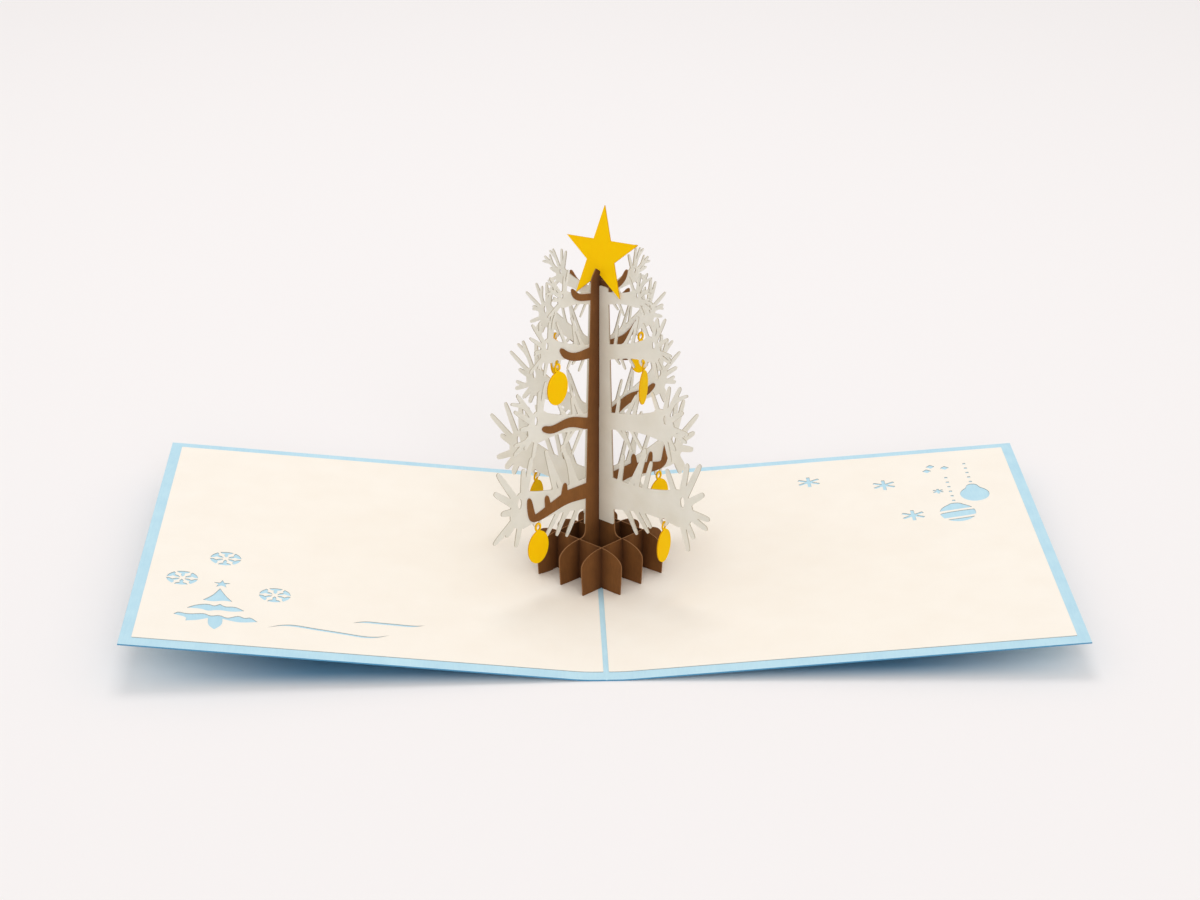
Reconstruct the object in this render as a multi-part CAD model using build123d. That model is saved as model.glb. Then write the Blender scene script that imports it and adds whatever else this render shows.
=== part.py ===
from build123d import *

import os
from dataclasses import dataclass
from math import atan2, cos, pi, radians, sin, sqrt, tan

# Pop-up greeting card, open: a folded cover with two page inserts, and a paper tree standing on the fold.
# Sizes are in millimetres and angles in degrees. X runs across the open card, Y along its fold
# from front to back, and Z up from the table. The origin lies under the middle of the fold.

# Folded cover, one sheet that stands on a narrow flat at its spine
page_width = 150.0
page_length = 158.0
cover_thickness = 0.5
spine_flat_half = 3.0
spine_bend_radius = 70.0
left_raise = 5.85
right_raise = 4.25
score_half_width = 0.4
score_depth = 0.15

# Page inserts, glued inside the cover
insert_thickness = 0.2
insert_border = 3.7
insert_fold_gap = 0.85

# Fits of the paper sheets
sheet_thickness = 0.4
slot_clearance = 0.08
seat_gap = 0.05
cut_overrun = 2.0

# Base lattice, three strips crossing three
strip_offsets = (-1, 0, 1)
base_pitch = 10.0
base_overhang = 9.4
base_top = 15.1
base_corner_drop = 4.5
base_end_taper = 0.7
base_corner_steps = 5
tab_length = 5.0

# Trunk sheets, each one piece with its middle base strip and its branches
trunk_top = 103.0
trunk_half_top = 3.9
trunk_half_foot = 6.9
trunk_flare = 1.6
trunk_flare_height = 2.5
trunk_flare_steps = 3
trunk_slot_share = 0.5
prong_height = 4.2
prong_tip_offset = 1.8
prong_shoulder = 1.2
prong_valley = 3.0

# Needle sheets, glued face to face on the trunk sheets
needle_trunk_margin = 0.1
needle_top_drop = 1.8
needle_foot_gap = 4.2
needle_tip_length = 0.5
needle_root_swell = 1.35

# Star on the top
star_radius = 16.0
star_inner_ratio = 0.382
star_points = 5
star_lean = 13.0
star_turn = 6.0
star_seat_height = 1.8
star_notch_depth = 1.0

# Oval ornaments with a loop, and the eyelets that carry them
ornament_width = 9.4
ornament_height = 11.5
ornament_sides = 16
loop_width = 2.9
loop_height = 3.4
loop_band = 0.65
loop_overlap = 0.3
eyelet_radius = 1.9
eyelet_hole_radius = 0.95
eyelet_sides = 8
hang_gap = 0.1


@dataclass
class Level:
    """One level of the tree: its branch and its spray of needles, on the side where u is above 0."""

    share: float
    limb_half: float
    palm_reach: float
    palm_rise: float
    palm_radius: float
    needle_half: float
    top_comb_count: int
    top_comb_length: float
    low_comb_count: int
    low_comb_length: float
    branch: tuple
    fork_turns: tuple
    twigs: tuple = ()
    fan_stretch: float = 1.0
    eyelet: tuple = ()
    hang_turn: float = 0.0


# A level's height is a share of the trunk above the base. A branch or twig is a row of points, each with
# its share of the palm's reach, its rise above the level and its half width. Each needle of the fan has
# the turns of the side needles that it splits into. An eyelet is placed from the middle of the palm, and
# an ornament that hangs in it is turned a little.
levels = {
    "top": Level(
        share=0.939, limb_half=2.1, palm_reach=16.2, palm_rise=2.9, palm_radius=3.0, needle_half=0.45,
        top_comb_count=0, top_comb_length=0, low_comb_count=2, low_comb_length=3.6,
        branch=((0, -0.2, 1.1), (0.58, 1.6, 1.1), (0.704, 3.0, 1.1), (0.778, 5.0, 0.7)),
        fork_turns=((), (), (-30,), (36, -34), (38,), (-36,), ()), fan_stretch=1.2),
    "high": Level(
        share=0.732, limb_half=2.6, palm_reach=23.0, palm_rise=5.6, palm_radius=4.4, needle_half=0.55,
        top_comb_count=3, top_comb_length=9.5, low_comb_count=3, low_comb_length=3.4,
        branch=((0, -0.3, 2.2), (0.487, 0.0, 1.3), (0.678, 1.9, 1.3), (0.77, 4.3, 0.9)),
        fork_turns=((), (), (34,), (), (-36,), (), (-38,), ()), eyelet=(-3.4, -5.0), hang_turn=26),
    "middle": Level(
        share=0.462, limb_half=2.9, palm_reach=28.0, palm_rise=4.8, palm_radius=5.6, needle_half=0.7,
        top_comb_count=3, top_comb_length=8.5, low_comb_count=3, low_comb_length=7.0,
        branch=((0, -0.7, 2.0), (0.232, -0.5, 1.9), (0.507, 2.7, 1.6), (0.789, 1.7, 1.3), (0.925, 3.4, 1.1)),
        fork_turns=((), (), (-34,), (), (), (36,), (), ())),
    "low": Level(
        share=0.173, limb_half=5.6, palm_reach=35.5, palm_rise=3.5, palm_radius=6.6, needle_half=0.95,
        top_comb_count=4, top_comb_length=13.0, low_comb_count=4, low_comb_length=7.5,
        branch=((0, 0.6, 3.0), (0.439, 1.8, 2.2), (0.676, -0.1, 1.8), (0.828, -1.2, 1.4), (0.885, -0.6, 1.5),
                (0.907, 1.8, 1.4), (0.927, 6.1, 1.0)),
        fork_turns=((), (), (), (), (), (), (), ()),
        twigs=(((0.473, 2.6, 1.4), (0.462, 6.3, 0.95)), ((0.682, 0.6, 1.3), (0.701, 4.6, 0.9))),
        eyelet=(-6.5, -6.3), hang_turn=15),
}

# A spray of needles. The fan gives the direction of each outer needle and its reach in palm radii,
# and a comb is a row of needles along the upper or lower edge of the limb.
fan = ((108, 2.35), (85, 2.45), (61, 2.9), (36, 2.3), (6, 1.75), (-24, 2.1), (-49, 1.7), (-72, 2.0))
fan_root = 0.6
fork_places = {1: 0.4, -1: 0.55}
fork_length = 0.5
palm_squeeze = 0.9
palm_sides = 12
limb_waist = 0.72
limb_steps = 4
comb_slimness = 0.8
top_comb_lean = 72.0
top_comb_start = 2.2
top_comb_step = 3.6
low_comb_lean = -52.0
low_comb_start = 1.1
low_comb_step = 2.9

# No two needles are alike: turn and length sway from one to the next, with a phase for each half of a sheet
needle_sway = 2.4
fan_turn_sway = 7.0
fan_reach_sway = 0.14
comb_turn_sway = 9.0
comb_length_sway = 0.28
needle_phases = {"a": (1.9, 4.4), "b": (3.3, 5.6)}

# A slot in the palm of each spray, with sizes in palm radii
palm_slot_angle = 62.0
palm_slot_place = 0.45
palm_slot_halves = (0.14, 0.3)
palm_slot_sides = 6

# Motifs cut through the left insert, placed from its page's front outer corner
snowflake_places = ((27.1, 65.6), (14.7, 48.9), (44.9, 41.5))
snowflake_radius = 5.1
snowflake_arms = 6
snowflake_arm_half = 0.42
snowflake_spur = (0.4, 0.6, 0.78)
snowflake_spur_half = 1.2
fir_place = (27.6, 19.4)
fir_tiers = (
    ((-0.3, 24.0), (2.1, 18.5), (4.4, 15.0), (1.4, 15.4), (-1.6, 14.1), (-4.9, 14.9), (-2.1, 18.7)),
    ((-9.4, 8.5), (-6.5, 11.3), (-2.8, 12.4), (-1.0, 11.0), (0.7, 12.8), (2.5, 11.0), (5.6, 11.8), (8.7, 9.1),
     (5.0, 7.8), (0.5, 8.7), (-2.6, 7.1), (-4.6, 8.6)),
    ((-13.0, 3.5), (-11.6, 5.4), (-8.6, 4.1), (-3.4, 5.8), (-1.6, 3.7), (1.4, 5.3), (3.8, 2.9), (7.1, 5.9),
     (9.1, 3.9), (10.9, 5.2), (13.4, 2.2), (8.1, 0.8), (4.9, 1.6), (2.4, 2.6), (2.7, -1.6), (0.5, -5.1),
     (-1.7, -2.4), (-2.1, 2.4), (-5.1, 0.5), (-8.8, -0.5), (-8.7, 1.9)),
)
fir_star_height = 27.2
fir_star_radius = 2.9
wave_places = ((63.3, 19.0), (81.7, 27.2))
wave_lengths = (38.4, 23.0)
wave_swings = (2.6, 1.0)
wave_rises = (1.3, 2.4)
wave_half_width = 0.6
wave_taper = 5.0
wave_skew = 0.09
wave_steps = 10

# Motifs cut through the right insert, placed from its page's back outer corner
asterisk_places = ((74.3, 20.9), (48.7, 28.6), (41.9, 55.4))
asterisk_radius = 4.1
asterisk_arm_half = 0.6
small_asterisk_place = (30.9, 37.3)
small_asterisk_radius = 1.9
small_asterisk_arm_half = 0.42
asterisk_bars = 3
diamond_places = ((30.8, 16.0), (32.5, 19.6), (26.0, 17.9))
diamond_half = 1.6
diamond_corners = 4
bauble_place = (18.8, 41.7)
bauble_radius = 5.1
bauble_cap_top = 8.5
bauble_dots = 5
striped_bauble_place = (26.7, 55.9)
striped_bauble_radius = 6.2
striped_bauble_cap_top = 8.0
striped_bauble_dots = 6
stripe_heights = (-4.0, 2.0)
stripe_half = 0.65
stripe_turn = 9.0
bauble_stretch = 1.18
bauble_sides = 16
bauble_cap_half = 1.5
bauble_cap_foot = (0.52, 0.8)
dot_half = 0.75
dot_sides = 4
dot_step = 3.9

# The tree's sheets cross in two level directions, each at half a right angle to the fold. A sheet has
# u along its direction and z up, and its facing is the normal on the side towards the front.
diagonal = sqrt(1 / 2)
quarter_turn = 90
half_turn = 180
along = {"a": Vector(diagonal, -diagonal, 0), "b": Vector(diagonal, diagonal, 0)}
facing = {"a": Vector(-diagonal, -diagonal, 0), "b": Vector(diagonal, -diagonal, 0)}
raise_angle = {-1: radians(left_raise), 1: radians(right_raise)}
trunk_slot_end = base_top + trunk_slot_share * (trunk_top - base_top)
strip_half_length = base_pitch + base_overhang
strip_slot_end = base_top / 2

# Where each sheet lies across its own direction: trunk sheets and needle sheets back to back
trunk_layer = {"a": -sheet_thickness, "b": 0.0}
needle_layer = {"a": 0.0, "b": -sheet_thickness}


def page_point(side, run, height):
    """A point of a page's section: run along the cover from the fold, height above its underside."""
    angle = raise_angle[side]
    if run <= spine_flat_half:
        return side * run, height
    inner = spine_bend_radius - height
    turn = min((run - spine_flat_half) / spine_bend_radius, angle)
    rest = max(run - spine_flat_half - spine_bend_radius * angle, 0)
    x = spine_flat_half + inner * sin(turn) + rest * cos(turn)
    z = spine_bend_radius - inner * cos(turn) + rest * sin(turn)
    return side * x, z


def page_line(side, start, end, height):
    """The edges of a page's section at one height, from one run to another: flat, bend and slope."""
    bend_end = spine_flat_half + spine_bend_radius * raise_angle[side]
    bend_middle = (spine_flat_half + bend_end) / 2
    bend = [page_point(side, run, height) for run in (spine_flat_half, bend_middle, bend_end)]
    flat = Line(page_point(side, start, height), bend[0])
    slope = Line(bend[-1], page_point(side, end, height))
    return [flat, ThreePointArc(*bend), slope]


def page_end(side, run, low, high):
    return [Line(page_point(side, run, low), page_point(side, run, high))]


def page_top(x):
    """The height of an insert's upper face at a distance x from the fold."""
    side = 1 if x > 0 else -1
    angle = raise_angle[side]
    height = cover_thickness + insert_thickness
    bend_x, bend_z = page_point(side, spine_flat_half + spine_bend_radius * angle, height)
    if abs(x) >= abs(bend_x):
        return bend_z + (abs(x) - abs(bend_x)) * tan(angle)
    across = max(abs(x) - spine_flat_half, 0)
    return spine_bend_radius - sqrt((spine_bend_radius - height) ** 2 - across ** 2)


def page_plane(side, height):
    """A page's sloping plane, with x measured from the fold along the page and y along the fold."""
    angle = raise_angle[side]
    bend_end = spine_flat_half + spine_bend_radius * angle
    x, z = page_point(side, bend_end, height)
    origin = (x - side * bend_end * cos(angle), 0, z - bend_end * sin(angle))
    return Plane(origin, x_dir=(cos(angle), 0, side * sin(angle)), z_dir=(-side * sin(angle), 0, cos(angle)))


def outline(points):
    """A flat face with these corners, facing up whichever way round they are given."""
    area = sum(p[0] * q[1] - q[0] * p[1] for p, q in zip(points, points[1:] + points[:1]))
    return Polygon(*(points if area > 0 else points[::-1]), align=None)


def rectangle(low_u, high_u, low_z, high_z):
    return outline([(low_u, low_z), (high_u, low_z), (high_u, high_z), (low_u, high_z)])


def polar(centre, angle, radius):
    return centre[0] + radius * cos(radians(angle)), centre[1] + radius * sin(radians(angle))


def oval(centre, half_width, half_height, sides):
    """A many-sided oval with flats at its top and bottom."""
    angles = [(2 * k + 1) * pi / sides - pi / 2 for k in range(sides)]
    return outline([(centre[0] + half_width * cos(a), centre[1] + half_height * sin(a)) for a in angles])


def star_face(centre, radius, turn):
    """A five-pointed star with its first point up, turned anticlockwise."""
    first = quarter_turn + turn
    step = half_turn / star_points
    radii = (radius, radius * star_inner_ratio)
    return outline([polar(centre, first + k * step, radii[k % 2]) for k in range(2 * star_points)])


def bar(middle, angle, half_length, half_width):
    """A straight bar through a point, at an angle to the first axis."""
    ends = (polar(middle, angle, half_length), polar(middle, angle, -half_length))
    left = [polar(end, angle + quarter_turn, half_width) for end in ends]
    right = [polar(end, angle - quarter_turn, half_width) for end in reversed(ends)]
    return outline(left + right)


def joined(faces):
    return faces[0] + faces[1:]


def both_sides(half):
    """A half drawn where u is above 0, with its mirror image."""
    return half + mirror(half, about=Plane.YZ)


def sheet_plane(family, across, u=0.0, z=0.0):
    """The plane of a sheet, at a distance from the trunk's axis along its facing."""
    origin = along[family] * u + facing[family] * across + Vector(0, 0, z)
    return Plane(origin, x_dir=along[family], z_dir=facing[family])


def cut_out(plane, face, thickness=sheet_thickness):
    """A flat piece of this outline, lying on the front of a plane."""
    return extrude(plane * face, amount=thickness, dir=plane.z_dir)


def level_height(level):
    return base_top + level.share * (trunk_top - base_top)


def palm_centre(level):
    return level.palm_reach, level_height(level) + level.palm_rise


def eyelet_centre(level):
    palm = palm_centre(level)
    return palm[0] + level.eyelet[0], palm[1] + level.eyelet[1]


def trunk_half(z):
    """Half the trunk's width, which tapers from the base to the top."""
    return trunk_half_foot + (trunk_half_top - trunk_half_foot) * (z - base_top) / (trunk_top - base_top)


def strip_place(family, offset):
    """Where a base strip lies across its direction: the trunk's own layer, moved by whole pitches."""
    return offset * base_pitch + trunk_layer[family]


def strip_foot(family, offset, u):
    """The height of a base strip's lower edge, just above the page that it stands on."""
    spot = along[family] * u + facing[family] * (offset * base_pitch)
    return page_top(spot.X) + seat_gap


def tab_middle(family, offset):
    """The place of an outer strip's foot tab, on the page that its end reaches furthest over."""
    end = base_pitch + base_overhang / 2
    towards_right = facing[family].X * offset > 0
    return end if towards_right == (family == "b") else -end


def strip_face(family, offset):
    """A base strip with rounded shoulders, a foot that follows the pages, and its crossing slots."""
    foot_end = strip_half_length - base_end_taper
    fold = -facing[family].X * offset * base_pitch / along[family].X
    shoulder = []
    for k in range(base_corner_steps + 1):
        turn = k / base_corner_steps * pi / 2
        run = strip_half_length - base_overhang * (1 - cos(turn))
        shoulder.append((run, base_top - base_corner_drop * (1 - sin(turn))))
    foot = [(u, strip_foot(family, offset, u)) for u in (-foot_end, fold, foot_end)]
    strip = outline(foot + shoulder + [(-u, z) for u, z in reversed(shoulder)])
    if offset:
        middle = tab_middle(family, offset)
        ends = (middle - tab_length / 2, middle + tab_length / 2)
        low = [(u, strip_foot(family, offset, u) - insert_thickness) for u in ends]
        strip += outline(low + [(u, strip_slot_end) for u in reversed(ends)])
    return strip - [strip_slot(family, offset, k) for k in strip_offsets if offset or k]


def strip_slot(family, offset, k):
    """The slot where a base strip takes a strip of the other family: from the top, or from the foot."""
    other = "b" if family == "a" else "a"
    low = (facing[other].dot(along[family])) * strip_place(other, k)
    high = low + facing[other].dot(along[family]) * sheet_thickness
    low, high = min(low, high) - slot_clearance, max(low, high) + slot_clearance
    if family == "a":
        return rectangle(low, high, strip_slot_end, base_top + cut_overrun)
    return rectangle(low, high, -cut_overrun, strip_slot_end + seat_gap)


def limb(level, points):
    """A tapering branch of a level along a row of points, with a blunt tip."""
    middle = level_height(level)
    nodes = [(share * level.palm_reach, rise, half) for share, rise, half in points]
    upper, lower = [], []
    for k, (u, rise, half) in enumerate(nodes):
        before = nodes[max(k - 1, 0)]
        after = nodes[min(k + 1, len(nodes) - 1)]
        heading = atan2(after[1] - before[1], after[0] - before[0])
        upper.append((u - half * sin(heading), middle + rise + half * cos(heading)))
        lower.append((u + half * sin(heading), middle + rise - half * cos(heading)))
    tip = (u + half * cos(heading), middle + rise + half * sin(heading))
    return outline(lower + [tip] + upper[::-1])


def trunk_slot(family):
    """The long slot at the axis where the two tree planes cross: from the top, or from the foot."""
    half = sheet_thickness + slot_clearance
    if family == "a":
        return rectangle(-half, half, trunk_slot_end, trunk_top + prong_height)
    return rectangle(-half, half, -cut_overrun, trunk_slot_end + seat_gap)


def trunk_face(family):
    """A trunk sheet: base strip, flared and tapering trunk, and branches on both sides."""
    edge = [(0, strip_slot_end), (trunk_half_foot + trunk_flare, strip_slot_end)]
    for k in range(trunk_flare_steps + 1):
        turn = k / trunk_flare_steps * pi / 2
        z = base_top + trunk_flare_height * (1 - cos(turn))
        edge.append((trunk_half(z) + trunk_flare * (1 - sin(turn)), z))
    edge.append((trunk_half_top, trunk_top))
    if family == "b":
        edge.append((trunk_half_top, trunk_top + prong_shoulder))
        edge.append((prong_tip_offset, trunk_top + prong_height))
        edge.append((0, trunk_top + prong_valley))
    else:
        edge.append((0, trunk_top))
    faces = [outline(edge)]
    for level in levels.values():
        faces += [limb(level, points) for points in (level.branch, *level.twigs)]
    face = both_sides(joined(faces)) + strip_face(family, 0)
    cuts = [trunk_slot(family)] + [strip_slot(family, 0, k) for k in strip_offsets if k]
    if family == "b":
        cuts.append(star_slot())
    return face - cuts


def star_slot():
    """The leaning slot between the prongs that takes the star."""
    lean = quarter_turn - star_lean
    low = polar((0, trunk_top + star_seat_height), lean, star_notch_depth - seat_gap)
    return bar(polar(low, lean, prong_height), lean, prong_height, sheet_thickness / 2 + slot_clearance)


def sway(k, phase, size):
    """How much the k-th needle of a row departs from its neighbours."""
    return size * sin(needle_sway * k + phase)


def needle(root, angle, reach, tip_half):
    """A slim needle that narrows from its root and ends in a short point."""
    tip = polar(root, angle, reach)
    neck = polar(root, angle, reach - needle_tip_length)
    root_half = tip_half * needle_root_swell
    right = [polar(root, angle - quarter_turn, root_half), polar(neck, angle - quarter_turn, tip_half)]
    left = [polar(neck, angle + quarter_turn, tip_half), polar(root, angle + quarter_turn, root_half)]
    return outline(right + [tip] + left)


def comb(level, count, length, lean, start, step, phase):
    """A row of needles along the limb."""
    middle = level_height(level)
    inner = trunk_half(middle)
    slope = level.palm_rise / (level.palm_reach - inner)
    slim = level.needle_half * comb_slimness
    needles = []
    for k in range(count):
        run = start + k * step
        reach = level.limb_half + length * (1 + sway(k + 1, phase, comb_length_sway))
        turn = lean + sway(k, phase, comb_turn_sway)
        needles.append(needle((inner + run, middle + slope * run), turn, reach, slim))
    return needles


def spray(level, phase):
    """The faces of one spray: limb, palm, fan, combs, and the eyelet that an ornament hangs from."""
    middle = level_height(level)
    palm = palm_centre(level)
    inner = trunk_half(middle)
    upper, lower = [], []
    for k in range(limb_steps + 1):
        part = k / limb_steps
        half = level.limb_half + (level.palm_radius - level.limb_half) * part
        half *= 1 - (1 - limb_waist) * sin(pi * part)
        u = inner + (palm[0] - inner) * part
        upper.append((u, middle + level.palm_rise * part + half))
        lower.append((u, middle + level.palm_rise * part - half))
    faces = [outline([(0, lower[0][1])] + lower + upper[::-1] + [(0, upper[0][1])])]
    faces.append(oval(palm, level.palm_radius * palm_squeeze, level.palm_radius, palm_sides))
    slim = level.needle_half * comb_slimness
    for k, ((angle, reach), turns) in enumerate(zip(fan, level.fork_turns)):
        angle += sway(k, phase, fan_turn_sway)
        reach *= level.fan_stretch * (1 + sway(k + 1, phase, fan_reach_sway))
        root = polar(palm, angle, level.palm_radius * fan_root)
        length = level.palm_radius * (reach - fan_root)
        faces.append(needle(root, angle, length, level.needle_half))
        for turn in turns:
            split = polar(root, angle, length * fork_places[1 if turn > 0 else -1])
            faces.append(needle(split, angle + turn, length * fork_length, slim))
    top_row = (top_comb_lean, top_comb_start, top_comb_step, phase)
    low_row = (low_comb_lean, low_comb_start, low_comb_step, phase)
    faces += comb(level, level.top_comb_count, level.top_comb_length, *top_row)
    faces += comb(level, level.low_comb_count, level.low_comb_length, *low_row)
    if level.eyelet:
        faces.append(oval(eyelet_centre(level), eyelet_radius, eyelet_radius, palm_sides))
    return faces


def spray_slots(level):
    """The faces cut from a spray: a slot in its palm, and the eyelet's hole."""
    place = polar(palm_centre(level), palm_slot_angle, level.palm_radius * palm_slot_place)
    half_width, half_height = (level.palm_radius * share for share in palm_slot_halves)
    slots = [oval(place, half_width, half_height, palm_slot_sides)]
    if level.eyelet:
        slots.append(oval(eyelet_centre(level), eyelet_hole_radius, eyelet_hole_radius, eyelet_sides))
    return slots


def needle_face(family):
    """A needle sheet: a slim trunk with a spray on each side at every level."""
    ends = (base_top + needle_foot_gap, trunk_top - needle_top_drop)
    edge = [(trunk_half(z) + needle_trunk_margin, z) for z in ends]
    halves = []
    for phase in needle_phases[family]:
        faces = [outline([(0, ends[0])] + edge + [(0, ends[1])])]
        slots = []
        for level in levels.values():
            faces += spray(level, phase)
            slots += spray_slots(level)
        halves.append(joined(faces) - slots)
    return halves[0] + mirror(halves[1], about=Plane.YZ) - trunk_slot(family)


def star():
    """The star, notched on the trunk's prongs and leaning back a little."""
    lean = radians(star_lean)
    up = Vector(0, 0, cos(lean)) + along["b"] * sin(lean)
    normal = along["a"].cross(up)
    seat = Vector(0, 0, trunk_top + star_seat_height)
    inner_radius = star_radius * star_inner_ratio
    centre = polar((sheet_thickness / 2, 0), quarter_turn + star_turn, inner_radius)
    notch = rectangle(-slot_clearance, sheet_thickness + slot_clearance, -cut_overrun, star_notch_depth)
    plane = Plane(seat - normal * (sheet_thickness / 2), x_dir=along["a"], z_dir=normal)
    return cut_out(plane, star_face(centre, star_radius, star_turn) - notch)


def ornament_face():
    """An oval ornament with its loop, drawn below the point that the inside of the loop hangs from."""
    flat = cos(pi / eyelet_sides)
    inner = (loop_width / 2 - loop_band, loop_height / 2 - loop_band)
    ring = (0, -inner[1] * flat)
    drop = loop_height / 2 * flat + ornament_height / 2 - loop_overlap
    body = oval((0, ring[1] - drop), ornament_width / 2, ornament_height / 2, ornament_sides)
    return oval(ring, loop_width / 2, loop_height / 2, eyelet_sides) + body - oval(ring, *inner, eyelet_sides)


def ornament(level, family, side):
    """An ornament at a level's eyelet: it hangs across sheet a, and lies glued on the face of sheet b."""
    reach, height = eyelet_centre(level)
    hang = height - eyelet_hole_radius * cos(pi / eyelet_sides) + hang_gap
    if family == "b":
        return cut_out(sheet_plane("b", trunk_layer["b"], side * reach, hang), ornament_face())
    spot = sheet_plane("a", needle_layer["a"] + sheet_thickness / 2, side * reach, hang).origin
    across = along["b"].rotate(Axis.Z, level.hang_turn)
    normal = facing["b"].rotate(Axis.Z, level.hang_turn)
    plane = Plane(spot - normal * (sheet_thickness / 2), x_dir=across, z_dir=normal)
    return cut_out(plane, ornament_face())


def cover():
    """The folded cover, scored along the inside of its fold."""
    edges = []
    for side in (-1, 1):
        edges += page_line(side, 0, page_width, 0) + page_line(side, 0, page_width, cover_thickness)
        edges += page_end(side, page_width, 0, cover_thickness)
    score_floor = (0, cover_thickness - score_depth)
    score = outline([score_floor, (score_half_width, cover_thickness), (-score_half_width, cover_thickness)])
    return extrude(Plane.XZ * (make_face(edges) - score), amount=page_length / 2, both=True)


def insert(side, motifs):
    """A page insert with its motifs cut through, and slits for the feet of the tree's base."""
    low, high = cover_thickness, cover_thickness + insert_thickness
    inner, outer = insert_fold_gap, page_width - insert_border
    edges = page_line(side, inner, outer, low) + page_line(side, inner, outer, high)
    edges += page_end(side, inner, low, high) + page_end(side, outer, low, high)
    half_length = page_length / 2 - insert_border
    page = extrude(Plane.XZ * make_face(edges), amount=half_length, both=True)
    page -= extrude(page_plane(side, low) * joined(motifs), amount=cut_overrun, both=True)
    return page - [slit for slit in tab_slits() if slit.center().X * side > 0]


def tab_slits():
    """A slit in the pages for each foot tab of the outer base strips."""
    slits = []
    half_width = sheet_thickness / 2 + slot_clearance
    half_length = tab_length / 2 + slot_clearance
    for family in ("a", "b"):
        for offset in strip_offsets:
            if offset:
                across = strip_place(family, offset) + sheet_thickness / 2
                spot = along[family] * tab_middle(family, offset) + facing[family] * across
                plane = Plane(spot, x_dir=along[family], z_dir=(0, 0, 1))
                slit = plane * rectangle(-half_length, half_length, -half_width, half_width)
                slits.append(extrude(slit, amount=base_top, both=True))
    return slits


def snowflake(centre):
    """A round snowflake: the cells between its arms are cut away, each with a spur from both arms."""
    half_cell = half_turn / snowflake_arms
    arm_halves = (snowflake_arm_half, snowflake_spur_half, snowflake_arm_half, snowflake_arm_half)
    cells = []
    for k in range(snowflake_arms):
        middle = half_cell * (2 * k + 1)
        cell = [polar(centre, middle, snowflake_arm_half / sin(radians(half_cell)))]
        rim = polar(centre, middle, snowflake_radius)
        for hand in (-1, 1):
            arm = middle + hand * half_cell
            edge = []
            for share, half in zip((*snowflake_spur, 1), arm_halves):
                spot = polar(centre, arm, share * snowflake_radius)
                edge.append(polar(spot, arm - hand * quarter_turn, half))
            cell += edge + [rim] if hand < 0 else edge[::-1]
        cells.append(outline(cell))
    return cells


def fir(place):
    """A fir tree in wavy tiers with a star on it."""
    tiers = [outline([(place[0] + x, place[1] + y) for x, y in tier]) for tier in fir_tiers]
    return tiers + [star_face((place[0], place[1] + fir_star_height), fir_star_radius, 0)]


def wave(place, length, swing, rise):
    """A drift line, one full wave that thins out at both ends, its crest and trough drawn outwards."""
    upper, lower = [], []
    for k in range(wave_steps + 1):
        part = k / wave_steps
        phase = 2 * pi * (part + wave_skew * sin(2 * pi * part))
        x = place[0] + length * (part - 1 / 2)
        y = place[1] + rise * (part - 1 / 2) + swing * sin(phase)
        half = wave_half_width * min(1, wave_taper * part, wave_taper * (1 - part))
        upper.append((x, y + half))
        lower.append((x, y - half))
    return [outline(lower + upper[-2:0:-1])]


def asterisk(place, radius, half_width):
    """A star of straight bars that cross in one point."""
    turns = [quarter_turn + k * half_turn / asterisk_bars for k in range(asterisk_bars)]
    return [joined([bar(place, turn, radius, half_width) for turn in turns])]


def diamond(place, half):
    return [outline([polar(place, k * quarter_turn, half) for k in range(diamond_corners)])]


def bauble(place, radius, cap_top, dots, stripes=()):
    """A tree bauble with a cap that narrows upwards, hanging from a row of dots."""
    half_height = radius * bauble_stretch
    foot_half, foot = (share * size for share, size in zip(bauble_cap_foot, (radius, half_height)))
    cap = ((-foot_half, foot), (foot_half, foot), (bauble_cap_half, cap_top), (-bauble_cap_half, cap_top))
    disc = oval(place, radius, half_height, bauble_sides)
    disc += outline([(place[0] + x, place[1] + y) for x, y in cap])
    for height in stripes:
        disc -= bar((place[0], place[1] + height), stripe_turn, radius + cut_overrun, stripe_half)
    first = place[1] + cap_top + dot_step / 2
    row = [oval((place[0], first + k * dot_step), dot_half, dot_half, dot_sides) for k in range(dots)]
    return [disc] + row


def left_motifs():
    """Snowflakes, a fir and drift lines, in the left page's own x and y."""
    def spot(place):
        return place[0] - page_width, place[1] - page_length / 2

    faces = fir(spot(fir_place))
    for place in snowflake_places:
        faces += snowflake(spot(place))
    for place, length, swing, rise in zip(wave_places, wave_lengths, wave_swings, wave_rises):
        faces += wave(spot(place), length, swing, rise)
    return faces


def right_motifs():
    """Asterisks, diamonds and two baubles, in the right page's own x and y."""
    def spot(place):
        return page_width - place[0], page_length / 2 - place[1]

    faces = asterisk(spot(small_asterisk_place), small_asterisk_radius, small_asterisk_arm_half)
    for place in asterisk_places:
        faces += asterisk(spot(place), asterisk_radius, asterisk_arm_half)
    for place in diamond_places:
        faces += diamond(spot(place), diamond_half)
    striped = (striped_bauble_radius, striped_bauble_cap_top, striped_bauble_dots, stripe_heights)
    faces += bauble(spot(bauble_place), bauble_radius, bauble_cap_top, bauble_dots)
    faces += bauble(spot(striped_bauble_place), *striped)
    return faces


parts = {
    "cover": cover(),
    "left_insert": insert(-1, left_motifs()),
    "right_insert": insert(1, right_motifs()),
}

strip_names = {
    ("a", 1): "base_front_left_strip",
    ("a", -1): "base_back_right_strip",
    ("b", 1): "base_front_right_strip",
    ("b", -1): "base_back_left_strip",
}
for (family, offset), name in strip_names.items():
    parts[name] = cut_out(sheet_plane(family, strip_place(family, offset)), strip_face(family, offset))

for family in ("a", "b"):
    parts[f"trunk_sheet_{family}"] = cut_out(sheet_plane(family, trunk_layer[family]), trunk_face(family))
    parts[f"needle_sheet_{family}"] = cut_out(sheet_plane(family, needle_layer[family]), needle_face(family))

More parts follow.
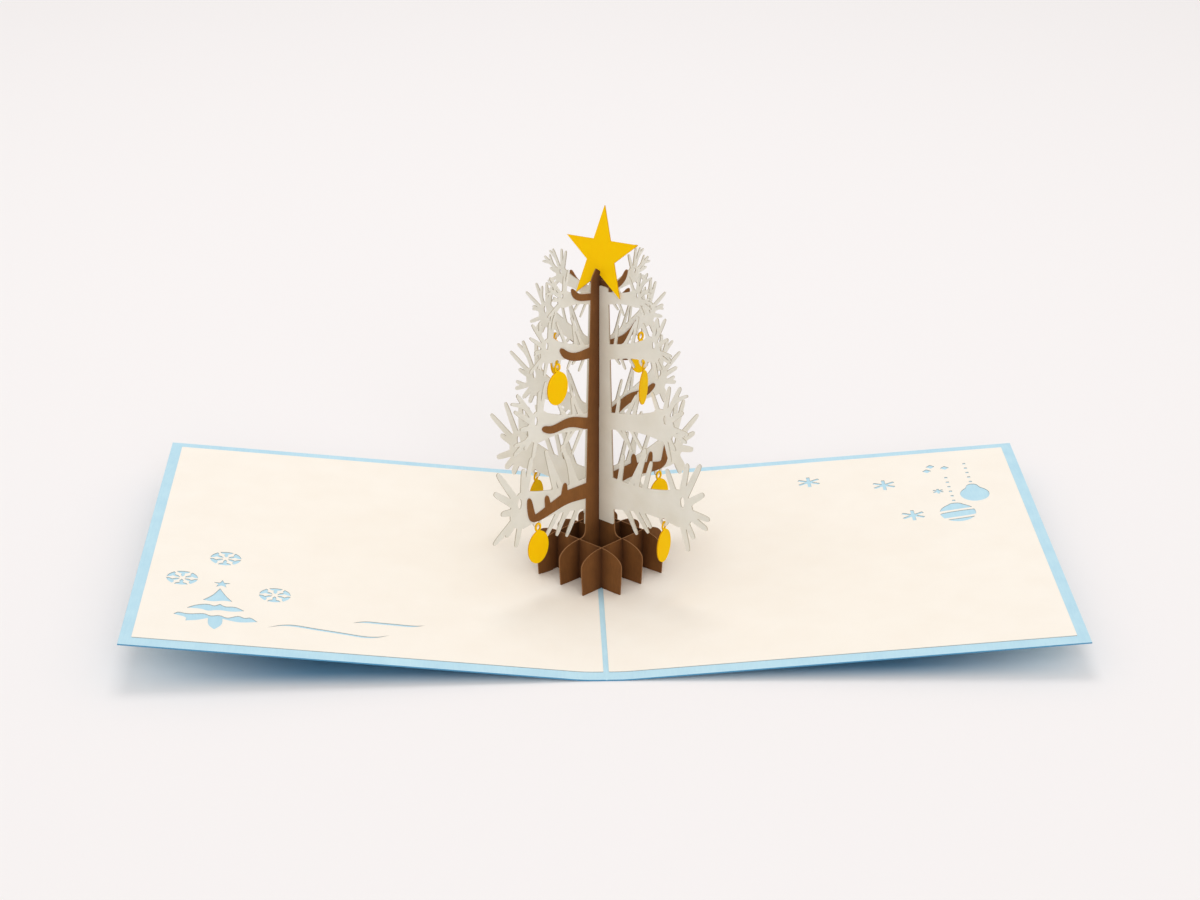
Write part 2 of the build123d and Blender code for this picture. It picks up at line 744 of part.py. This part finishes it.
parts["star"] = star()

ornament_names = {
    ("a", 1): "front_right",
    ("a", -1): "back_left",
    ("b", -1): "front_left",
    ("b", 1): "back_right",
}
for (family, side), corner in ornament_names.items():
    for height in ("low", "high"):
        parts[f"ornament_{corner}_{height}"] = ornament(levels[height], family, side)

os.makedirs("parts", exist_ok=True)
for name, piece in parts.items():
    export_step(piece, f"parts/{name}.step")
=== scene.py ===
from math import cos, radians, sin

import bmesh
import bpy
from mathutils import Matrix, Vector


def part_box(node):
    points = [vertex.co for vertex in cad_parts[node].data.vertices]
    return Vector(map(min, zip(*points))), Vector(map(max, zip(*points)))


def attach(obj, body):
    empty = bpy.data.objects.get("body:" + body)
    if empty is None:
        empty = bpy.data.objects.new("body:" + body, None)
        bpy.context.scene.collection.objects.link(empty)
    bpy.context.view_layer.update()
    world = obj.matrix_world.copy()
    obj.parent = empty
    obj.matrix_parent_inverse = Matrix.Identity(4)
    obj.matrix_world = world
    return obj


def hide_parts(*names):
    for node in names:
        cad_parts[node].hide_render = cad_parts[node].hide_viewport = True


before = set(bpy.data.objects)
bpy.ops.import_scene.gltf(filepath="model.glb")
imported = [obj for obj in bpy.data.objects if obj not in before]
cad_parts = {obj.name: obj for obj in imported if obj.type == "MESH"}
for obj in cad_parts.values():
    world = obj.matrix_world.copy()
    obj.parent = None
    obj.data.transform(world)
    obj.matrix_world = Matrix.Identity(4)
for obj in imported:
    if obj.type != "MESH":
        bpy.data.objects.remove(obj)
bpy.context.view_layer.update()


# Cover
# One sheet of light blue dyed card, cut to size, scored along the middle and folded.
# It lies open on its spine, and its cut edges show a deeper blue than its faces.
cover_edge_bevel = 0.00006
cover_bevel_steps = 2
merge_gap = 1e-6
flat_angle = radians(0.5)
smooth_angle = radians(25)
cut_edge_cosine = 0.5            # a face whose normal is less upright than this is a cut edge


def copy_of(node_name, piece_name):
    """A copy of a frame piece with its loose triangles merged, selected and active."""
    bpy.ops.object.select_all(action="DESELECT")
    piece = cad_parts[node_name].copy()
    piece.data = piece.data.copy()
    piece.name = piece_name
    piece.data.name = piece_name
    for key in list(piece.keys()):
        del piece[key]
    piece.parent = None
    bpy.context.collection.objects.link(piece)
    piece.select_set(True)
    bpy.context.view_layer.objects.active = piece
    piece.data.materials.clear()
    bpy.ops.object.mode_set(mode="EDIT")
    bpy.ops.mesh.select_all(action="SELECT")
    bpy.ops.mesh.remove_doubles(threshold=merge_gap)
    bpy.ops.object.mode_set(mode="OBJECT")
    return piece


def mark_cut_edges(sheet):
    """Gives each face of a sheet that lies flat an attribute: 1 on the cut edges, 0 on the two sides."""
    edges = sheet.data.attributes.new("cut_edge", "FLOAT", "FACE")
    for face, mark in zip(sheet.data.polygons, edges.data):
        mark.value = 1.0 if abs(face.normal.z) < cut_edge_cosine else 0.0


def hand_over(piece, material, node_name):
    """Gives a finished piece its material, hangs it on the root body, and hides the frame piece whose
    place it takes.
    """
    piece.data.materials.clear()
    piece.data.materials.append(material)
    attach(piece, "root")
    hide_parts(node_name)


def linear(hex_colour):
    """An sRGB hex colour as linear red, green, blue and alpha."""
    channels = [int(hex_colour[k:k + 2], 16) / 255 for k in (1, 3, 5)]
    return [c / 12.92 if c <= 0.04045 else ((c + 0.055) / 1.055) ** 2.4 for c in channels] + [1.0]


def add_node(tree, kind, inputs=None, stops=(), **settings):
    """Adds a node with its settings, values or other nodes' outputs on its inputs, and a ramp's stops."""
    node = tree.nodes.new(kind)
    for key, value in settings.items():
        setattr(node, key, value)
    for key, value in (inputs or {}).items():
        if isinstance(value, bpy.types.NodeSocket):
            tree.links.new(value, node.inputs[key])
        else:
            node.inputs[key].default_value = value
    for k, (position, colour) in enumerate(stops):
        ramp = node.color_ramp.elements
        stop = ramp[k] if k < len(ramp) else ramp.new(position)
        stop.position = position
        stop.color = colour
    return node


def new_material(name):
    """A material with its shader, and the object's own coordinates to draw patterns with."""
    material = bpy.data.materials.new(name)
    material.use_nodes = True
    tree = material.node_tree
    shader = tree.nodes["Principled BSDF"]
    place = add_node(tree, "ShaderNodeTexCoord").outputs["Object"]
    return material, tree, shader, place


def finish_sheet(tree, shader, face, edge_colour, grain, tooth_strength, tooth_depth):
    """Joins the colour of a sheet's sides, that of its cut edges, and its tooth to the shader."""
    cut = add_node(tree, "ShaderNodeAttribute", attribute_name="cut_edge")
    colours = {"Factor": cut.outputs["Fac"], "A": face, "B": linear(edge_colour)}
    colour = add_node(tree, "ShaderNodeMix", colours, data_type="RGBA")
    tooth = {"Height": grain.outputs["Fac"], "Strength": tooth_strength, "Distance": tooth_depth}
    bump = add_node(tree, "ShaderNodeBump", tooth)
    tree.links.new(colour.outputs["Result"], shader.inputs["Base Color"])
    tree.links.new(bump.outputs["Normal"], shader.inputs["Normal"])


# Dyed card: uncoated and pressed between felts, so it is matt, softly mottled and faintly fibrous.
# Real fibres and tooth are too fine to show in the render, so they are drawn coarser.
blue_tones = ((0.3, linear("#B4D9EA")), (0.7, linear("#C2E3F0")))
blue_edge = "#5090B6"
blue_mottle_size = 0.009
blue_fibre_size = 0.0006
blue_fibre_stretch = (1.0, 0.12, 1.0)
blue_fibre_share = 0.4
blue_tooth_size = 0.00035
blue_tooth_strength = 0.25
blue_tooth_depth = 0.00004
blue_card, tree, shader, place = new_material("dyed_blue_card")
mottle = add_node(tree, "ShaderNodeTexNoise",
                  {"Vector": place, "Scale": 1 / blue_mottle_size, "Detail": 3.0})
along_fold = add_node(tree, "ShaderNodeMapping", {"Vector": place, "Scale": blue_fibre_stretch})
fibres = add_node(tree, "ShaderNodeTexNoise",
                  {"Vector": along_fold.outputs["Vector"], "Scale": 1 / blue_fibre_size, "Detail": 2.0})
tone = add_node(tree, "ShaderNodeMix",
                {"Factor": blue_fibre_share, "A": mottle.outputs["Fac"], "B": fibres.outputs["Fac"]})
face = add_node(tree, "ShaderNodeValToRGB", {"Fac": tone.outputs["Result"]}, blue_tones)
grain = add_node(tree, "ShaderNodeTexNoise",
                 {"Vector": place, "Scale": 1 / blue_tooth_size, "Detail": 2.0})
finish_sheet(tree, shader, face.outputs["Color"], blue_edge, grain,
             blue_tooth_strength, blue_tooth_depth)
shader.inputs["Roughness"].default_value = 0.82
shader.inputs["Specular IOR Level"].default_value = 0.3

cover = copy_of("cover", "folded_cover")
bpy.ops.object.mode_set(mode="EDIT")
bpy.ops.mesh.dissolve_limited(angle_limit=flat_angle)
bpy.ops.object.mode_set(mode="OBJECT")
mark_cut_edges(cover)
bevel = cover.modifiers.new("edge", "BEVEL")
bevel.width = cover_edge_bevel
bevel.segments = cover_bevel_steps
bevel.limit_method = "ANGLE"
bpy.ops.object.modifier_apply(modifier="edge")
bpy.ops.object.shade_smooth_by_angle(angle=smooth_angle)
hand_over(cover, blue_card, "cover")


# Page inserts
# Two sheets of thin cream paper with small winter pictures cut right through by a laser, so that the
# blue card shows in them. Each is glued flat inside the cover, follows its bend at the fold, and leaves
# a border of blue all round, a little wider at the front, where the sheet is trimmed.
spine_flat_half = 0.003
spine_bend_radius = 0.07
insert_bend_steps = 6
insert_front_trim = 0.0013
insert_edge_reach = 0.003        # an outline's point this near to the fold or the front edge is on it
insert_corner = 0.0005
insert_crisp_leg = 0.001         # an outer corner stays crisp only where both its legs are longer
broad_motif = 0.008              # wider pictures have rounder corners
broad_motif_turn = radians(88)
sharp_turn = radians(55)
longest_corner_share = 1 / 3     # of a leg, at most, from a crisp corner to the point beside it
same_side_cosine = 0.9999        # a face this close in direction and level is part of a sheet's side
same_side_gap = 1e-5
outline_order = 3                # quadratic curves, which stay within the corners that pull them
outline_resolution = 4
up = Vector((0, 0, 1))


def outline_of(piece, plane):
    """The outlines of a sheet's flat side as loops of points in its plane, the broadest loop first."""
    flat = plane.inverted()
    normal = plane.col[2].to_3d()
    level = plane.translation.dot(normal)
    shape = bmesh.new()
    shape.from_mesh(piece.data)
    side = [face for face in shape.faces if face.normal.dot(normal) > same_side_cosine
            and abs(face.calc_center_median().dot(normal) - level) < same_side_gap]
    on_side = set(side)
    after = {}
    for face in side:
        for corner in face.loops:
            if sum(neighbour in on_side for neighbour in corner.edge.link_faces) == 1:
                after[corner.vert.index] = corner.link_loop_next.vert.index
    places = {vertex.index: (flat @ vertex.co).to_2d() for vertex in shape.verts}
    shape.free()
    loops = []
    while after:
        start, step = after.popitem()
        loop = [start]
        while step != start:
            loop.append(step)
            step = after.pop(step)
        loops.append([places[k] for k in loop])
    return sorted(loops, key=lambda loop: min(spot.x for spot in loop) - max(spot.x for spot in loop))


def control_points(loop, corner, crisp_leg, sharp):
    """Points that pull a smooth curve along an outline. A crisp corner has one more on each side."""
    points = []
    for k, spot in enumerate(loop):
        before = loop[k - 1]
        following = loop[(k + 1) % len(loop)]
        turn = (following - spot).angle_signed(spot - before)
        back_leg = (before - spot).length
        front_leg = (following - spot).length
        crisp = turn < -sharp or (turn > sharp and min(back_leg, front_leg) > crisp_leg)
        if crisp:
            points.append(spot.lerp(before, min(corner / back_leg, longest_corner_share)))
        points.append(spot)
        if crisp:
            points.append(spot.lerp(following, min(corner / front_leg, longest_corner_share)))
    return points


def cut_sheet(name, loops, thickness):
    """A flat sheet with smooth outlines, lying in the XY plane with its thickness centred on it."""
    curve = bpy.data.curves.new(name, "CURVE")
    curve.dimensions = "2D"
    curve.fill_mode = "BOTH"
    curve.extrude = thickness / 2
    curve.resolution_u = outline_resolution
    for points in loops:
        spline = curve.splines.new("NURBS")
        spline.points.add(len(points) - 1)
        for point, spot in zip(spline.points, points):
            point.co = (spot.x, spot.y, 0, 1)
        spline.use_cyclic_u = True
        spline.order_u = outline_order
        spline.resolution_u = outline_resolution
    sheet = bpy.data.objects.new(name, curve)
    bpy.context.collection.objects.link(sheet)
    bpy.ops.object.select_all(action="DESELECT")
    sheet.select_set(True)
    bpy.context.view_layer.objects.active = sheet
    bpy.ops.object.convert(target="MESH")
    sheet = bpy.context.object
    bpy.ops.object.mode_set(mode="EDIT")
    bpy.ops.mesh.select_all(action="SELECT")
    bpy.ops.mesh.remove_doubles(threshold=merge_gap)
    bpy.ops.mesh.dissolve_degenerate(threshold=merge_gap)
    bpy.ops.mesh.normals_make_consistent(inside=False)
    bpy.ops.object.mode_set(mode="OBJECT")
    return sheet


def bend_to_page(run, height, lift):
    """Where a point of the flat sheet comes to lie on the spine's flat, its bend or the raised page."""
    side = 1 if run > 0 else -1
    past = abs(run) - spine_flat_half
    if past <= 0:
        return run, height
    turn = min(past / spine_bend_radius, lift)
    rest = max(past - spine_bend_radius * lift, 0)
    inner = spine_bend_radius - height
    x = spine_flat_half + inner * sin(turn) + rest * cos(turn)
    return side * x, spine_bend_radius - inner * cos(turn) + rest * sin(turn)


# Uncoated cream paper: smooth and matt, with the faint cloudiness of its pulp, and greyish on its cut
# edges. Its real tooth is too fine to show, so it is drawn coarser.
cream_tones = ((0.3, linear("#F8EFE3")), (0.7, linear("#FAF2E7")))
cream_edge = "#ABABA5"
cream_cloud_size = 0.014
cream_tooth_size = 0.0003
cream_tooth_strength = 0.2
cream_tooth_depth = 0.00003
cream_paper, tree, shader, place = new_material("uncoated_cream_paper")
cloud = add_node(tree, "ShaderNodeTexNoise",
                 {"Vector": place, "Scale": 1 / cream_cloud_size, "Detail": 4.0})
face = add_node(tree, "ShaderNodeValToRGB", {"Fac": cloud.outputs["Fac"]}, cream_tones)
grain = add_node(tree, "ShaderNodeTexNoise",
                 {"Vector": place, "Scale": 1 / cream_tooth_size, "Detail": 2.0})
finish_sheet(tree, shader, face.outputs["Color"], cream_edge, grain,
             cream_tooth_strength, cream_tooth_depth)
shader.inputs["Roughness"].default_value = 0.88
shader.inputs["Specular IOR Level"].default_value = 0.25

for node_name, side in (("left_insert", -1), ("right_insert", 1)):
    source = copy_of(node_name, "insert_source")
    page = max((face for face in source.data.polygons if face.normal.z > 0), key=lambda face: face.area)
    page_up = page.normal.copy()
    lift = up.angle(page_up)
    bend_end = side * (spine_flat_half + spine_bend_radius * lift)
    low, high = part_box(node_name)
    page_middle = (low.x + high.x) / 2
    levels = [v.co.dot(page_up) for v in source.data.vertices if v.co.x * side > page_middle * side]
    insert_thickness = max(levels) - min(levels)
    # The raised page's plane, in which x is the run along the flat sheet from the middle of the fold.
    slope = Vector((cos(lift), 0, side * sin(lift)))
    bend_x, bend_z = bend_to_page(bend_end, low.z + insert_thickness, lift)
    origin = Vector((bend_x, 0, bend_z)) - slope * bend_end
    axes = Matrix((slope, Vector((0, 1, 0)), page_up)).transposed().to_4x4()
    loops = outline_of(source, Matrix.Translation(origin) @ axes)
    bpy.data.objects.remove(source)
    # The outline goes on from the page's plane to the edge by the fold, and its front edge is trimmed.
    fold_edge = high.x if side < 0 else low.x
    for spot in loops[0]:
        if abs(spot.x - bend_end) < insert_edge_reach:
            spot.x = fold_edge
        if spot.y - low.y < insert_edge_reach:
            spot.y += insert_front_trim
    curves = [control_points(loops[0], insert_corner, insert_crisp_leg, sharp_turn)]
    for loop in loops[1:]:
        width = max(spot.x for spot in loop) - min(spot.x for spot in loop)
        sharp = broad_motif_turn if width > broad_motif else sharp_turn
        curves.append(control_points(loop, insert_corner, insert_crisp_leg, sharp))
    insert = cut_sheet(node_name + "_sheet", curves, insert_thickness)
    mark_cut_edges(insert)
    # Cross cuts let the flat sheet follow the bend.
    bpy.ops.object.mode_set(mode="EDIT")
    for k in range(insert_bend_steps + 1):
        run = side * (spine_flat_half + spine_bend_radius * lift * k / insert_bend_steps)
        bpy.ops.mesh.select_all(action="SELECT")
        bpy.ops.mesh.bisect(plane_co=(run, 0, 0), plane_no=(1, 0, 0))
    bpy.ops.mesh.select_all(action="SELECT")
    bpy.ops.mesh.dissolve_degenerate(threshold=merge_gap)
    bpy.ops.object.mode_set(mode="OBJECT")
    for vertex in insert.data.vertices:
        x, z = bend_to_page(vertex.co.x, low.z + insert_thickness / 2 + vertex.co.z, lift)
        vertex.co = (x, vertex.co.y, z)
    bpy.ops.object.shade_smooth_by_angle(angle=smooth_angle)
    hand_over(insert, cream_paper, node_name)


# Base strips
# Four strips of brown card that cross the two trunk sheets in slots and make the lattice at the tree's
# foot. Their shoulders are rounded, and a tab at the foot of each sits in a slit of the page.
strip_corner = 0.0003
strip_crisp_leg = 0.0006
sheet_turn = radians(45)
corner_names = ("front_left", "front_right", "back_left", "back_right")


def upright_sheet(node_name, piece_name, corner, crisp_leg):
    """A standing frame sheet cut anew with smooth outlines, in its own place."""
    source = copy_of(node_name, "sheet_source")
    broad = max(source.data.polygons, key=lambda face: face.area).normal
    front = broad.copy() if broad.y < 0 else -broad
    levels = [vertex.co.dot(front) for vertex in source.data.vertices]
    thickness = max(levels) - min(levels)
    across = up.cross(front).normalized()
    axes = Matrix((across, front.cross(across), front)).transposed().to_4x4()
    plane = Matrix.Translation(front * max(levels)) @ axes
    loops = outline_of(source, plane)
    bpy.data.objects.remove(source)
    curves = [control_points(loop, corner, crisp_leg, sharp_turn) for loop in loops]
    sheet = cut_sheet(piece_name, curves, thickness)
    mark_cut_edges(sheet)
    sheet.matrix_world = plane @ Matrix.Translation((0, 0, -thickness / 2))
    bpy.ops.object.transform_apply(location=True, rotation=True, scale=True)
    bpy.ops.object.shade_smooth_by_angle(angle=smooth_angle)
    return sheet


def slot_distance(tree, place, pitch=None):
    """How far a point of a tree sheet lies from the next slot, at the axis or in the lattice."""
    turned = add_node(tree, "ShaderNodeMapping", {"Vector": place, "Rotation": (0, 0, -sheet_turn)})
    axes = add_node(tree, "ShaderNodeSeparateXYZ", {"Vector": turned.outputs["Vector"]})
    spans = []
    for axis in "XY":
        span = add_node(tree, "ShaderNodeMath", {0: axes.outputs[axis]}, operation="ABSOLUTE")
        if pitch:
            half = pitch / 2
            outer = {0: span.outputs[0], 1: pitch + half}
            span = add_node(tree, "ShaderNodeMath", outer, operation="MINIMUM")
            span = add_node(tree, "ShaderNodeMath", {0: span.outputs[0], 1: half}, operation="PINGPONG")
        spans.append(span.outputs[0])
    return add_node(tree, "ShaderNodeMath", {0: spans[0], 1: spans[1]}, operation="MAXIMUM").outputs[0]


def with_painted_slot_shade(tree, face, distance, reach, stops):
    """A face colour darkened towards the slots: painted shade where the crossing sheets shade each other.
    """
    share = add_node(tree, "ShaderNodeMath", {0: distance, 1: reach}, operation="DIVIDE")
    painted_shade_ramp = add_node(tree, "ShaderNodeValToRGB", {"Fac": share.outputs[0]}, stops)
    colours = {"Factor": 1.0, "A": face.outputs["Color"], "B": painted_shade_ramp.outputs["Color"]}
    toned = add_node(tree, "ShaderNodeMix", colours, data_type="RGBA", blend_type="MULTIPLY")
    return toned.outputs["Result"]


# Brown card: dyed through and uncoated, with darker and paler fibres and a paler fuzz on its cut edges.
# Its fibres and tooth are drawn coarser than real ones, which are too fine to show.
brown_tones = ((0.3, linear("#784B21")), (0.7, linear("#8D5B2A")))
brown_edge = "#8F633C"
# Painted shade: greys that darken the brown towards the slots, where the crossing sheets shade each
# other.
brown_painted_shade = ((0.0, linear("#9A8B7C")), (0.17, linear("#C3B9AE")), (0.45, linear("#E3DFDA")),
               (1.0, linear("#FFFFFF")))
brown_painted_shade_reach = 0.009
brown_mottle_size = 0.006
brown_fibre_size = 0.0005
brown_fibre_stretch = (1.0, 1.0, 0.2)
brown_fibre_share = 0.45
brown_tooth_size = 0.0003
brown_tooth_strength = 0.3
brown_tooth_depth = 0.00004
lattice_pitch = 0.01
lattice_top = 0.0151
lattice_fade = 0.002
brown_card, tree, shader, place = new_material("dyed_brown_card")
mottle = add_node(tree, "ShaderNodeTexNoise",
                  {"Vector": place, "Scale": 1 / brown_mottle_size, "Detail": 3.0})
upwards = add_node(tree, "ShaderNodeMapping", {"Vector": place, "Scale": brown_fibre_stretch})
fibres = add_node(tree, "ShaderNodeTexNoise",
                  {"Vector": upwards.outputs["Vector"], "Scale": 1 / brown_fibre_size, "Detail": 2.0})
tone = add_node(tree, "ShaderNodeMix",
                {"Factor": brown_fibre_share, "A": mottle.outputs["Fac"], "B": fibres.outputs["Fac"]})
face = add_node(tree, "ShaderNodeValToRGB", {"Fac": tone.outputs["Result"]}, brown_tones)
height = add_node(tree, "ShaderNodeSeparateXYZ", {"Vector": place}).outputs["Z"]
above = add_node(tree, "ShaderNodeMapRange",
                 {"Value": height, "From Min": lattice_top, "From Max": lattice_top + lattice_fade})
lattice_distance = slot_distance(tree, place, lattice_pitch)
trunk_distance = slot_distance(tree, place)
distance = add_node(tree, "ShaderNodeMix",
                    {"Factor": above.outputs["Result"], "A": lattice_distance, "B": trunk_distance})
# Painted shade towards the slots: in the lattice below its top, and at the trunk's axis above it.
toned = with_painted_slot_shade(tree, face, distance.outputs["Result"], brown_painted_shade_reach, brown_painted_shade)
grain = add_node(tree, "ShaderNodeTexNoise",
                 {"Vector": place, "Scale": 1 / brown_tooth_size, "Detail": 2.0})
finish_sheet(tree, shader, toned, brown_edge, grain, brown_tooth_strength, brown_tooth_depth)
shader.inputs["Roughness"].default_value = 0.85
shader.inputs["Specular IOR Level"].default_value = 0.3

for corner_name in corner_names:
    node_name = f"base_{corner_name}_strip"
    strip = upright_sheet(node_name, f"lattice_strip_{corner_name}", strip_corner, strip_crisp_leg)
    hand_over(strip, brown_card, node_name)


# Trunk sheets
# Two sheets of the same brown card, each one piece with its strip of the lattice, the trunk and the
# branches. They slide into each other's long slots and stand crosswise.
trunk_corner = 0.0004
trunk_crisp_leg = 0.0017
sheet_letters = ("a", "b")
for letter in sheet_letters:
    node_name = f"trunk_sheet_{letter}"
    trunk = upright_sheet(node_name, f"trunk_and_branches_{letter}", trunk_corner, trunk_crisp_leg)
    hand_over(trunk, brown_card, node_name)


# Needle sheets
# Two sheets of pearly grey-white paper with the frosted needles, laser-cut like coral, round at their
# tips. They are glued on the trunk sheets and cross in the same slots.
needle_corner = 0.0012
needle_crisp_leg = 0.0024

# Pearl paper: a white sheet with a mica wash, so it is greyish and silky, with darker cut edges. Its
# flecks are drawn coarser than real mica, which is too fine to show.
pearl_tones = ((0.3, linear("#E4DED0")), (0.7, linear("#ECE7DC")))
pearl_edge = "#BFB5A1"
# Painted shade: greys that darken the pearl paper towards the slots at the tree's axis.
pearl_painted_shade = ((0.0, linear("#E6E0D8")), (0.4, linear("#F2EEE9")), (1.0, linear("#FFFFFF")))
pearl_painted_shade_reach = 0.009
pearl_cloud_size = 0.008
pearl_fleck_size = 0.0004
pearl_fleck_strength = 0.25
pearl_fleck_depth = 0.00003
pearl_paper, tree, shader, place = new_material("pearl_white_paper")
cloud = add_node(tree, "ShaderNodeTexNoise",
                 {"Vector": place, "Scale": 1 / pearl_cloud_size, "Detail": 3.0})
face = add_node(tree, "ShaderNodeValToRGB", {"Fac": cloud.outputs["Fac"]}, pearl_tones)
# Painted shade towards the slots at the tree's axis.
toned = with_painted_slot_shade(tree, face, slot_distance(tree, place), pearl_painted_shade_reach, pearl_painted_shade)
flecks = add_node(tree, "ShaderNodeTexNoise",
                  {"Vector": place, "Scale": 1 / pearl_fleck_size, "Detail": 2.0})
gloss = add_node(tree, "ShaderNodeMapRange",
                 {"Value": flecks.outputs["Fac"], "To Min": 0.45, "To Max": 0.7})
finish_sheet(tree, shader, toned, pearl_edge, flecks, pearl_fleck_strength, pearl_fleck_depth)
tree.links.new(gloss.outputs["Result"], shader.inputs["Roughness"])
shader.inputs["Specular IOR Level"].default_value = 0.4

for letter in sheet_letters:
    node_name = f"needle_sheet_{letter}"
    needles = upright_sheet(node_name, f"frosted_needles_{letter}", needle_corner, needle_crisp_leg)
    hand_over(needles, pearl_paper, node_name)


# Star
# A five-pointed star of yellow card, notched on the prongs of the trunk and leaning back a little.
# Its points are cut sharp.
star_corner = 0.0002
star_crisp_leg = 0.0004

# Yellow card: dyed through, uncoated and very even, with only a faint cloudiness and tooth.
# The tooth is drawn coarser than a real one, which is too fine to show.
yellow_tones = ((0.3, linear("#FFC600")), (0.7, linear("#FFCC00")))
yellow_edge = "#E0A200"
yellow_cloud_size = 0.006
yellow_tooth_size = 0.0003
yellow_tooth_strength = 0.2
yellow_tooth_depth = 0.00003
yellow_card, tree, shader, place = new_material("dyed_yellow_card")
cloud = add_node(tree, "ShaderNodeTexNoise",
                 {"Vector": place, "Scale": 1 / yellow_cloud_size, "Detail": 3.0})
face = add_node(tree, "ShaderNodeValToRGB", {"Fac": cloud.outputs["Fac"]}, yellow_tones)
grain = add_node(tree, "ShaderNodeTexNoise",
                 {"Vector": place, "Scale": 1 / yellow_tooth_size, "Detail": 2.0})
finish_sheet(tree, shader, face.outputs["Color"], yellow_edge, grain,
             yellow_tooth_strength, yellow_tooth_depth)
shader.inputs["Roughness"].default_value = 0.85
shader.inputs["Specular IOR Level"].default_value = 0.08

star = upright_sheet("star", "tree_star", star_corner, star_crisp_leg)
hand_over(star, yellow_card, "star")


# Ornaments
# Eight ovals of the same yellow card, each with a loop cut in one piece with it. Four hang across one
# needle sheet in its eyelets, and four are glued on the face of the other.
ornament_corner = 0.0004
ornament_crisp_leg = 0.0008
for corner_name in corner_names:
    for height_name in ("low", "high"):
        node_name = f"ornament_{corner_name}_{height_name}"
        oval_name = f"oval_{corner_name}_{height_name}"
        ornament = upright_sheet(node_name, oval_name, ornament_corner, ornament_crisp_leg)
        hand_over(ornament, yellow_card, node_name)


# Stage
# A pale seamless studio floor, with a painted bluish shadow under the blue cover. A dome that turns dark
# towards its rim, a key lamp above and a broad fill lamp in front give plain soft light, and the camera
# stands at the photograph's viewing angle.
floor_size = 8.0
floor_colour = "#F3EFEF"
painted_shadow_colour = "#82A7C0"
# How far from the card's middle the painted bluish shadow begins, and where it is full.
painted_shadow_fade = {"X": (0.15, 0.085), "Y": (0.0815, 0.07)}
bpy.ops.object.select_all(action="DESELECT")
bpy.ops.mesh.primitive_plane_add(size=floor_size)
floor = bpy.context.object
floor.name = "floor"
floor_paint, tree, shader, place = new_material("studio_floor")
axes = add_node(tree, "ShaderNodeSeparateXYZ", {"Vector": place})
masks = []
for axis, (begin, full) in painted_shadow_fade.items():
    span = add_node(tree, "ShaderNodeMath", {0: axes.outputs[axis]}, operation="ABSOLUTE")
    fade = {"Value": span.outputs[0], "From Min": begin, "From Max": full}
    mask = add_node(tree, "ShaderNodeMapRange", fade, interpolation_type="SMOOTHSTEP")
    masks.append(mask.outputs["Result"])
# The painted shadow: the floor turns bluish and darker under the card, fading out towards its edges.
shade = add_node(tree, "ShaderNodeMath", {0: masks[0], 1: masks[1]}, operation="MULTIPLY")
colours = {"Factor": shade.outputs[0], "A": linear(floor_colour), "B": linear(painted_shadow_colour)}
colour = add_node(tree, "ShaderNodeMix", colours, data_type="RGBA")
tree.links.new(colour.outputs["Result"], shader.inputs["Base Color"])
shader.inputs["Roughness"].default_value = 0.95
shader.inputs["Specular IOR Level"].default_value = 0.0
floor.data.materials.append(floor_paint)

# The dome's linear colours, by the height of the direction.
dome_tones = ((0.1, (0.12, 0.22, 0.3, 1.0)), (0.45, (1.0, 0.985, 0.965, 1.0)))
dome_strength = 0.8
world = bpy.data.worlds.new("studio")
bpy.context.scene.world = world
world.use_nodes = True
tree = world.node_tree
background = tree.nodes["Background"]
direction = add_node(tree, "ShaderNodeTexCoord").outputs["Generated"]
height = add_node(tree, "ShaderNodeSeparateXYZ", {"Vector": direction}).outputs["Z"]
dome = add_node(tree, "ShaderNodeValToRGB", {"Fac": height}, dome_tones)
tree.links.new(dome.outputs["Color"], background.inputs["Color"])
background.inputs["Strength"].default_value = dome_strength

key_place = (-0.05, 0.45, 1.3)
key_size = 0.6
key_power = 4.0
bpy.ops.object.light_add(type="AREA", location=key_place)
key_light = bpy.context.object
key_light.data.size = key_size
key_light.data.energy = key_power

fill_place = (0.2, -2.4, 1.35)
fill_turn = (radians(62), 0, radians(5))
fill_size = 2.0
fill_power = 24.0
bpy.ops.object.light_add(type="AREA", location=fill_place, rotation=fill_turn)
fill_light = bpy.context.object
fill_light.data.size = fill_size
fill_light.data.energy = fill_power

camera_place = (-0.0252, -0.86325, 0.4104)
camera_turn = (radians(67), 0, radians(-1.69))
camera_sensor = 36.0
camera_reach = 20.0
photo_width_pixels = 1200
photo_focal_pixels = 2866
bpy.ops.object.camera_add(location=camera_place, rotation=camera_turn)
camera = bpy.context.object
camera.data.sensor_width = camera_sensor
camera.data.lens = camera_sensor * photo_focal_pixels / photo_width_pixels
camera.data.clip_end = camera_reach
bpy.context.scene.camera = camera
bpy.context.scene.view_settings.view_transform = "Standard"
